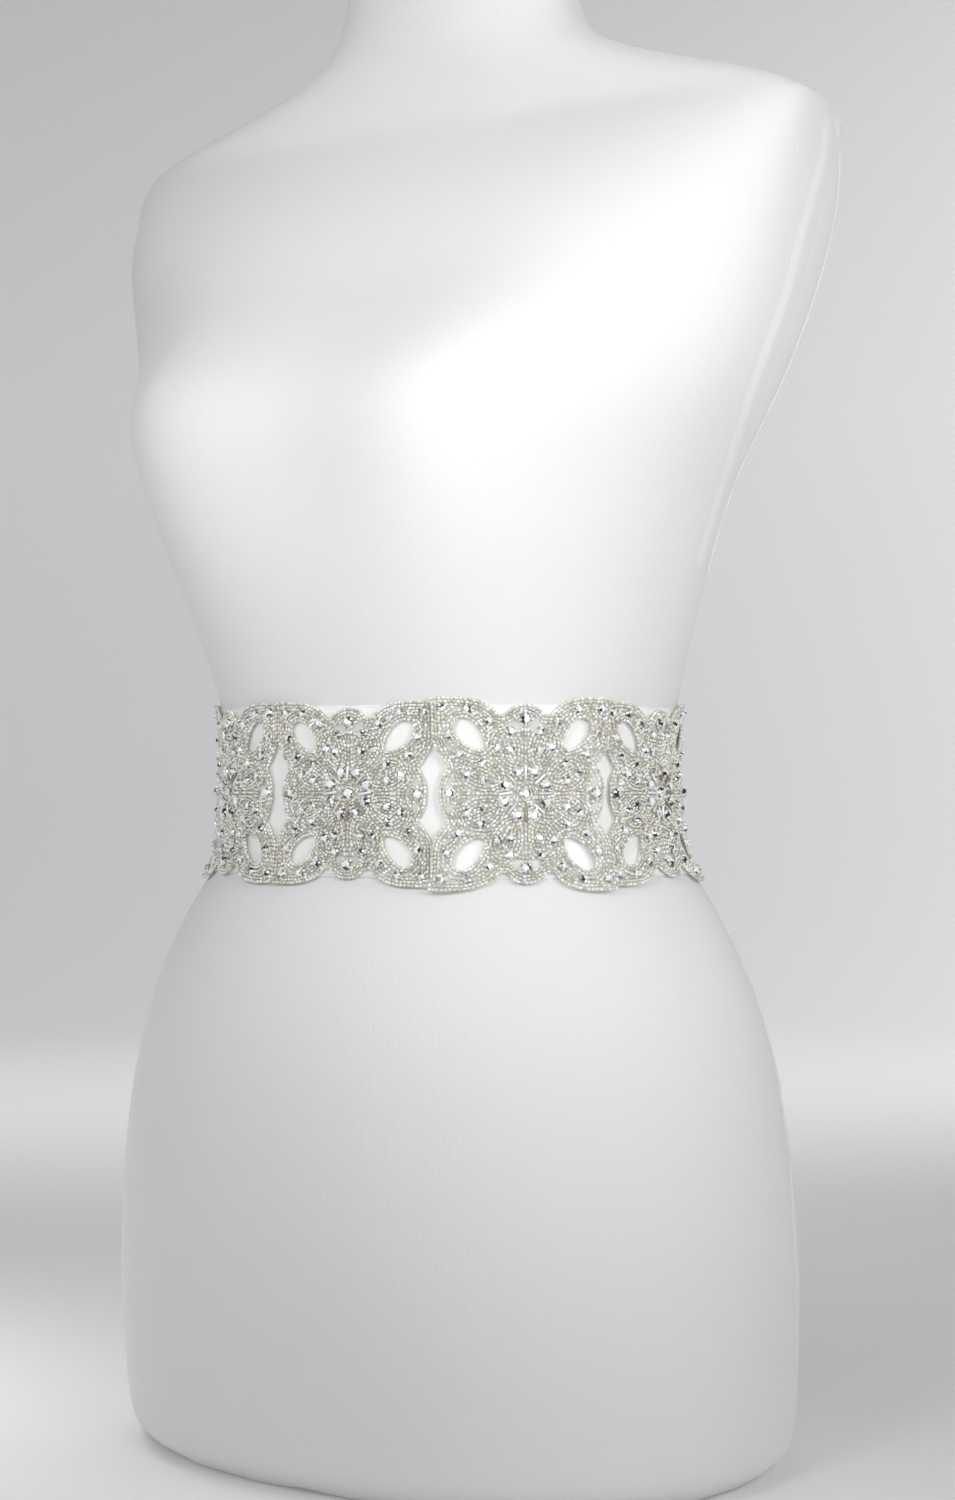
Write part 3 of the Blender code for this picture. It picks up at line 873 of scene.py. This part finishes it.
def woven_material(name, grain, **values):
    """Cloth with a fine raised grain."""
    scale, upright, strength, depth = grain
    material, nodes, links = new_material(name)
    shader = nodes["Principled BSDF"]
    setup(shader, **values)
    where = nodes.new("ShaderNodeTexCoord")
    drawn = nodes.new("ShaderNodeMapping")
    setup(drawn, Scale=(1, 1, upright))
    noise = nodes.new("ShaderNodeTexNoise")
    setup(noise, Scale=scale)
    bump = nodes.new("ShaderNodeBump")
    setup(bump, Strength=strength, Distance=depth)
    links.new(where.outputs["Object"], drawn.inputs["Vector"])
    links.new(drawn.outputs["Vector"], noise.inputs["Vector"])
    links.new(noise.outputs["Fac"], bump.inputs["Height"])
    links.new(bump.outputs["Normal"], shader.inputs["Normal"])
    return material


def jersey_material():
    return woven_material(
        "jersey_knit",
        KNIT,
        Base_Color=JERSEY_COLOUR,
        Roughness=0.85,
        Specular_IOR_Level=0.2,
        Sheen_Weight=0.25,
        Sheen_Roughness=0.5,
    )


def satin_material():
    return woven_material(
        "satin_weave", WEAVE, Base_Color=SATIN_COLOUR, Roughness=0.38, Sheen_Weight=0.3
    )


def sheer_material():
    material, nodes, _ = new_material("sheer_organza")
    setup(nodes["Principled BSDF"], Base_Color=SHEER_COLOUR, Roughness=0.5, Alpha=0.5)
    return material


def finish_piece(thing, material, node=None, smooth=True):
    thing.data.materials.append(material)
    thing.data.polygons.foreach_set("use_smooth", [smooth] * len(thing.data.polygons))
    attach(thing, "root")
    if node:
        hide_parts(node)
    return thing


def build_form(cad_form, material):
    """The jersey-covered form, as the CAD one with its facets smoothed out."""
    net = bmesh.new()
    net.from_mesh(cad_form.data)
    bmesh.ops.remove_doubles(net, verts=net.verts, dist=WELD)
    bmesh.ops.join_triangles(
        net,
        faces=net.faces,
        angle_face_threshold=SHARP_ANGLE,
        angle_shape_threshold=SKEW_ANGLE,
    )
    crease = net.edges.layers.float.new("crease_edge")
    for edge in net.edges:
        if edge.is_manifold and edge.calc_face_angle() > SHARP_ANGLE:
            edge[crease] = SHARP_HOLD
    mesh = bpy.data.meshes.new("jersey_form")
    net.to_mesh(mesh)
    net.free()
    form = add_object("jersey_form", mesh)
    finer = form.modifiers.new("finer", "SUBSURF")
    finer.levels = FORM_FINENESS
    finer.render_levels = FORM_FINENESS
    return finish_piece(form, material, "dress_form")


class Photo:
    """Finds where a place in the photograph lies on the form."""

    def __init__(self, form):
        self.tree = BVHTree.FromObject(form, bpy.context.evaluated_depsgraph_get())
        self.eye = from_camera((0, CAMERA_DISTANCE, CAMERA_HEIGHT))
        self.look = (from_camera((AIM_RIGHT, 0, AIM_HEIGHT)) - self.eye).normalized()
        self.right = self.look.cross(Vector((0, 0, 1))).normalized()
        self.up = self.right.cross(self.look)
        self.pixels = PHOTO_SIZE[1] * LENS_MM / SENSOR_MM

    def hit(self, x, y):
        """Point and normal on the form. A place just off its edge slides in to it."""
        for _ in range(EDGE_TRIES):
            across = (x - PHOTO_SIZE[0] / 2) / self.pixels
            rise = (PHOTO_SIZE[1] / 2 - y) / self.pixels
            way = self.look + self.right * across + self.up * rise
            point, normal, _, _ = self.tree.ray_cast(self.eye, way)
            if point:
                return point, normal
            x -= 1
        raise ValueError("a seam of the form lies off the form")

    def raised(self, place, height):
        """Point over the form's nearest place, that many millimetres off it."""
        point, normal, _, _ = self.tree.find_nearest(Vector(place))
        return tuple(point + normal * height * MM)


def smoothed(values, rounds):
    for _ in range(rounds):
        inner = (values[:-2] + 2 * values[1:-1] + values[2:]) / 4
        values = np.vstack([values[:1], inner, values[-1:]])
    return values


def grid_faces(rows, columns, start=0):
    """Four-sided faces of a grid of points that run along its rows."""
    corners = [start + columns * i + j for i in range(rows - 1) for j in range(columns - 1)]
    return [(a, a + 1, a + columns + 1, a + columns) for a in corners]


def build_seams(photo, material):
    """Folds and seams of the form's cover. They sink into it at both ends."""
    points, faces = [], []
    for profile, line in FORM_SEAMS:
        ends = np.array(line, float)
        lengths = lengths_along(ends)
        at = np.linspace(0, lengths[-1], max(SEAM_LEAST, int(lengths[-1] / SEAM_STEP)))
        x, y = (np.interp(at, lengths, ends[:, k]) for k in (0, 1))
        hits = [photo.hit(a, b) for a, b in zip(x, y)]
        middles, normals = (smoothed(np.array(found), SEAM_ROUNDS) for found in zip(*hits))
        normals = unit(normals)
        sides = unit(np.cross(np.gradient(middles, axis=0), normals))
        fades = smooth_step(np.minimum(at, lengths[-1] - at) / min(SEAM_FADE, lengths[-1] / 2))
        start = len(points)
        for middle, side, fade in zip(middles, sides, fades):
            for front, height in profile:
                sunk = (height + SEAM_SUNK) * fade - SEAM_SUNK
                points.append(photo.raised(middle + side * front * MM, sunk))
        faces += [(a, d, c, b) for a, b, c, d in grid_faces(len(middles), len(profile), start)]
    seams = build_mesh("form_seams", points, *joined(faces))
    return finish_piece(seams, material)


def build_ribbon(wrap, material):
    """Thin ribbon round the waist. Its ends meet under the beading at the back."""
    start = JOIN_PLACE - around_at(wrap) + RIBBON_JOIN_GAP / 2
    along = np.linspace(start, JOIN_PLACE - RIBBON_JOIN_GAP / 2, RIBBON_STEPS_ALONG + 1)
    up = np.linspace(RIBBON_LOW, RIBBON_HIGH, RIBBON_STEPS_UP + 1)
    d, h = np.meshgrid(along, up)
    points = wrap.point(d.ravel(), h.ravel(), RIBBON_OFF) * MM
    faces = grid_faces(RIBBON_STEPS_UP + 1, RIBBON_STEPS_ALONG + 1)
    ribbon = build_mesh("ribbon_cloth", points, *joined(faces))
    wall = ribbon.modifiers.new("wall", "SOLIDIFY")
    wall.thickness = RIBBON_WALL * MM
    wall.offset = 1
    return finish_piece(ribbon, material, "satin_ribbon")


def around_at(wrap):
    """Length round the panels' inner faces at their middle."""
    i = wrap.middle_row
    d = wrap.distances
    x = wrap.x[i] + wrap.nx[i] * PANEL_OFF
    y = wrap.y[i] + wrap.ny[i] * PANEL_OFF
    angle = np.unwrap(np.arctan2(x, -y))
    from_start = np.interp(angle[0] + 2 * math.pi, angle, d)
    return from_start - d[0]


def ground_mesh(outline, leaves):
    """Flat sheer ground with its openings, divided so that it bends smoothly."""
    data = bpy.data.curves.new("ground", "CURVE")
    data.dimensions = "2D"
    data.fill_mode = "FRONT"
    for loop in (outline, *leaves):
        spline = data.splines.new("POLY")
        spline.points.add(len(loop) - 1)
        for point, (x, y) in zip(spline.points, loop):
            point.co = (x, y, 0, 1)
        spline.use_cyclic_u = True
    curve = add_object("ground", data)
    bpy.context.view_layer.update()
    filled = curve.evaluated_get(bpy.context.evaluated_depsgraph_get())
    mesh = bpy.data.meshes.new_from_object(filled)
    bpy.data.objects.remove(curve)
    net = bmesh.new()
    net.from_mesh(mesh)
    bmesh.ops.remove_doubles(net, verts=net.verts, dist=GROUND_WELD)
    bmesh.ops.dissolve_limit(
        net, angle_limit=GROUND_FLATNESS, verts=net.verts, edges=net.edges
    )
    for axis, reach in ((Vector((1, 0, 0)), HALF_WIDTH), (Vector((0, 1, 0)), HALF_HEIGHT)):
        for place in np.arange(-math.floor(reach / GROUND_CELL) * GROUND_CELL, reach, GROUND_CELL):
            geometry = net.verts[:] + net.edges[:] + net.faces[:]
            bmesh.ops.bisect_plane(net, geom=geometry, plane_co=axis * place, plane_no=axis)
    bmesh.ops.triangulate(net, faces=net.faces)
    if sum(f.normal.z for f in net.faces) < 0:
        bmesh.ops.reverse_faces(net, faces=net.faces)
    net.to_mesh(mesh)
    net.free()
    return mesh


def picked_tints(random, choices, shape):
    tints, shares = zip(*choices)
    return np.array(tints)[random.choice(len(tints), shape, p=shares)]


def bead_tints(random, count):
    """Silver-lined clear glass: mostly beige silver, some bright, dark or amber."""
    tints = picked_tints(random, BEAD_TINTS, count)
    return np.clip(tints * random.uniform(*BEAD_SHADES, (count, 1)), 0, 1)


def facet_painted_light(random, count, template):
    """Painted light on the facets of each stone: painted highlights, some grey and dark painted
    reflections, and a wedge of painted shade on one side.
    """
    points, faces = template
    middles = np.array([np.mean([points[i] for i in face], axis=0) for face in faces])
    angles = np.arctan2(middles[:, 1], middles[:, 0])
    outer = np.hypot(middles[:, 0], middles[:, 1]) > SHADE_WEDGE_FROM
    painted_tones = picked_tints(random, PAINTED_FACET_LIGHT, (count, len(faces)))
    turned = random.uniform(-math.pi, math.pi, (count, 1))
    edge = random.uniform(*SHADE_WEDGE_EDGE, (count, 1))
    painted_tones[(np.cos(angles - turned) > edge) & outer] = SHADE_WEDGE_TONE
    return painted_tones.reshape(-1, 1) * FACET_COOLNESS


def build_panel(place, name, parts, materials, random):
    """One panel: its ground, beads, bugles, crystals and cups."""
    flat_ground, pattern, templates = parts
    stem = name.replace("beaded_panel_", "")
    mesh = flat_ground.copy()
    flat = np.array([v.co[:2] for v in mesh.vertices])
    bent = place.point(flat, GROUND_RISE) * MM
    mesh.vertices.foreach_set("co", bent.astype(np.float32).ravel())
    ground = add_object("organza_" + stem, mesh)
    finish_piece(ground, materials["sheer"], name)

    count = len(pattern.points)
    flat = pattern.points + random.normal(0, BEAD_SHIFT, (count, 2))
    turn = pattern.turns + random.normal(0, BEAD_SWAY, count)
    middles, axes = place.frames(flat, turn, BEAD_RISE + random.normal(0, BEAD_LEVEL, count))
    sizes = random.normal(1, BEAD_SPREAD, (count, 3)) * (BEAD_LENGTH, BEAD_RADIUS, BEAD_RADIUS)
    beads = stamp("seed_beads_" + stem, templates["bead"], middles, axes, sizes)
    tints = bead_tints(random, count)
    paint(beads, "tint_and_painted_light", np.repeat(tints, len(templates["bead"][0]), axis=0), "POINT")
    finish_piece(beads, materials["beads"])

    ends = np.array(pattern.bugles)
    flat = ends.mean(axis=1) + random.normal(0, BUGLE_SHIFT, (len(ends), 2))
    span = ends[:, 1] - ends[:, 0]
    turn = np.arctan2(span[:, 1], span[:, 0]) + random.normal(0, BUGLE_SWAY, len(ends))
    middles, axes = place.frames(flat, turn, BUGLE_RISE)
    sizes = np.tile((np.linalg.norm(span[0]), BUGLE_RADIUS, BUGLE_RADIUS), (len(ends), 1))
    bugles = stamp("bugles_" + stem, templates["bugle"], middles, axes, sizes)
    # Bugles are beige glass, some painted white as a highlight and some dark brown as a dark
    # reflection.
    tints = picked_tints(random, BUGLE_TINTS_AND_PAINTED_LIGHT, len(ends))
    paint(bugles, "tint_and_painted_light", np.repeat(tints, len(templates["bugle"][0]), axis=0), "POINT")
    finish_piece(bugles, materials["beads"])

    count = len(pattern.stones)
    turn = random.uniform(0, math.pi, count)
    flat = pattern.stones + random.normal(0, STONE_SHIFT, (count, 2))
    middles, axes = place.frames(flat, turn, CUP_RISE)
    tilt = random.normal(0, STONE_TILT, (count, 2))
    axes[:, 2] = unit(axes[:, 2] + axes[:, 0] * tilt[:, :1] + axes[:, 1] * tilt[:, 1:])
    axes[:, 0] = unit(np.cross(axes[:, 1], axes[:, 2]))
    axes[:, 1] = np.cross(axes[:, 2], axes[:, 0])
    sizes = np.repeat(pattern.stone_radii[:, None], 3, axis=1)
    seats = middles + axes[:, 2] * (sizes[:, :1] * STONE_SEAT)
    stones = stamp("crystals_" + stem, templates["crystal"], seats, axes, sizes)
    # The facets get painted highlights, painted dark reflections and a wedge of painted shade.
    tints = facet_painted_light(random, count, templates["crystal"])
    corners = np.tile([len(face) for face in templates["crystal"][1]], count)
    paint(stones, "tint_and_painted_light", np.repeat(tints, corners, axis=0), "CORNER")
    finish_piece(stones, materials["crystal"], smooth=False)
    cups = stamp("cups_" + stem, templates["cup"], middles, axes, sizes)
    # The cup wall is painted darker as shade. The claws are bright silver.
    paint(cups, "tint_and_painted_light", np.tile(cup_silver_and_painted_shade(), (count, 1)), "POINT")
    finish_piece(cups, materials["silver"], smooth=False)
    return ground, [beads, bugles, stones, cups]


def studio_surface(material):
    """Round pale studio: a floor that turns up into a wall."""
    profile = [(r, 0.0) for r in STUDIO_FLOOR_RINGS]
    for a in np.linspace(STUDIO_BEND_FROM, math.pi / 2, STUDIO_BEND_STEPS):
        profile.append((STUDIO_FLOOR + STUDIO_BEND * math.sin(a), STUDIO_BEND * (1 - math.cos(a))))
    profile += [(STUDIO_FLOOR + STUDIO_BEND, h) for h in STUDIO_WALL_RINGS]
    sides = STUDIO_SIDES
    points = [p for r, z in profile for p in level_ring(r, z - FLOOR_GAP, sides)]
    points.append((0, 0, -FLOOR_GAP))
    faces = [(len(points) - 1, i, (i + 1) % sides) for i in range(sides)]
    for k in range(len(profile) - 1):
        for i in range(sides):
            j = (i + 1) % sides
            faces.append((k * sides + i, (k + 1) * sides + i, (k + 1) * sides + j, k * sides + j))
    floor = build_mesh("studio", points, *joined(faces))
    floor.data.materials.append(material)
    floor.data.shade_smooth()


def area_light(name, place, target, size, power, spread):
    data = bpy.data.lights.new(name, "AREA")
    data.shape = "DISK"
    data.size = size
    data.energy = power
    data.spread = math.radians(spread)
    lamp = add_object(name, data)
    lamp.location = place
    lamp.rotation_euler = (Vector(target) - Vector(place)).to_track_quat("-Z", "Y").to_euler()
    lamp.visible_camera = False


def from_camera(place):
    """Point given as to the camera's right, towards the camera and up, from the base."""
    right, front, up = place
    x = right * math.cos(CAMERA_TURN) + front * math.sin(CAMERA_TURN)
    y = right * math.sin(CAMERA_TURN) - front * math.cos(CAMERA_TURN)
    return Vector((x, y, up))


def build_stage():
    material, nodes, _ = new_material("studio_paper")
    shader = nodes["Principled BSDF"]
    setup(shader, Base_Color=STUDIO_COLOUR, Roughness=0.9)
    setup(shader, Emission_Color=(1, 1, 1, 1), Emission_Strength=STUDIO_GLOW)
    studio_surface(material)
    world = bpy.data.worlds.new("studio_air")
    bpy.context.scene.world = world
    world.use_nodes = True
    setup(world.node_tree.nodes["Background"], Color=AIR_COLOUR, Strength=WORLD_STRENGTH)
    for name, place, target, size, power, spread in LAMPS:
        area_light(name, from_camera(place), from_camera(target), size, power, spread)


def build_camera():
    data = bpy.data.cameras.new("camera")
    data.lens = LENS_MM
    data.sensor_width = SENSOR_MM
    camera = add_object("camera", data)
    camera.location = from_camera((0, CAMERA_DISTANCE, CAMERA_HEIGHT))
    aim = from_camera((AIM_RIGHT, 0, AIM_HEIGHT))
    camera.rotation_euler = (aim - camera.location).to_track_quat("-Z", "Y").to_euler()
    bpy.context.scene.camera = camera


def main():
    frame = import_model()
    nodes = frame["nodes"]
    wrap = Wrap(nodes["dress_form"])
    jersey = jersey_material()
    form = build_form(nodes["dress_form"], jersey)
    build_seams(Photo(form), jersey)
    ribbon = build_ribbon(wrap, satin_material())

    outline = panel_outline()
    leaves = [leaf_outline(fx, fy) for fx in (1, -1) for fy in (1, -1)]
    pattern = sew_beads(outline, leaves)
    templates = {
        "bead": tube_template(BEAD_PROFILE, BEAD_SIDES),
        "bugle": tube_template(BUGLE_PROFILE, BUGLE_SIDES),
        "crystal": crystal_template(),
        "cup": cup_template(),
    }
    materials = {
        "sheer": sheer_material(),
        "beads": tinted_material("lined_glass", Metallic=0.12, Roughness=0.25, Coat_Weight=1.0),
        "crystal": tinted_material("crystal_facets", Metallic=0.05, Roughness=0.1, Coat_Weight=1.0),
        "silver": tinted_material("silver_cups", Metallic=0.6, Roughness=0.3),
    }
    flat_ground = ground_mesh(outline, leaves)
    random = np.random.default_rng(SEED)
    for name, tall, middle in PANELS:
        place = PanelPlace(wrap, name, tall, middle)
        parts = (flat_ground, pattern, templates)
        ground, sewn = build_panel(place, name, parts, materials, random)
    build_stage()
    build_camera()
    bpy.context.scene.view_settings.view_transform = "Standard"


main()
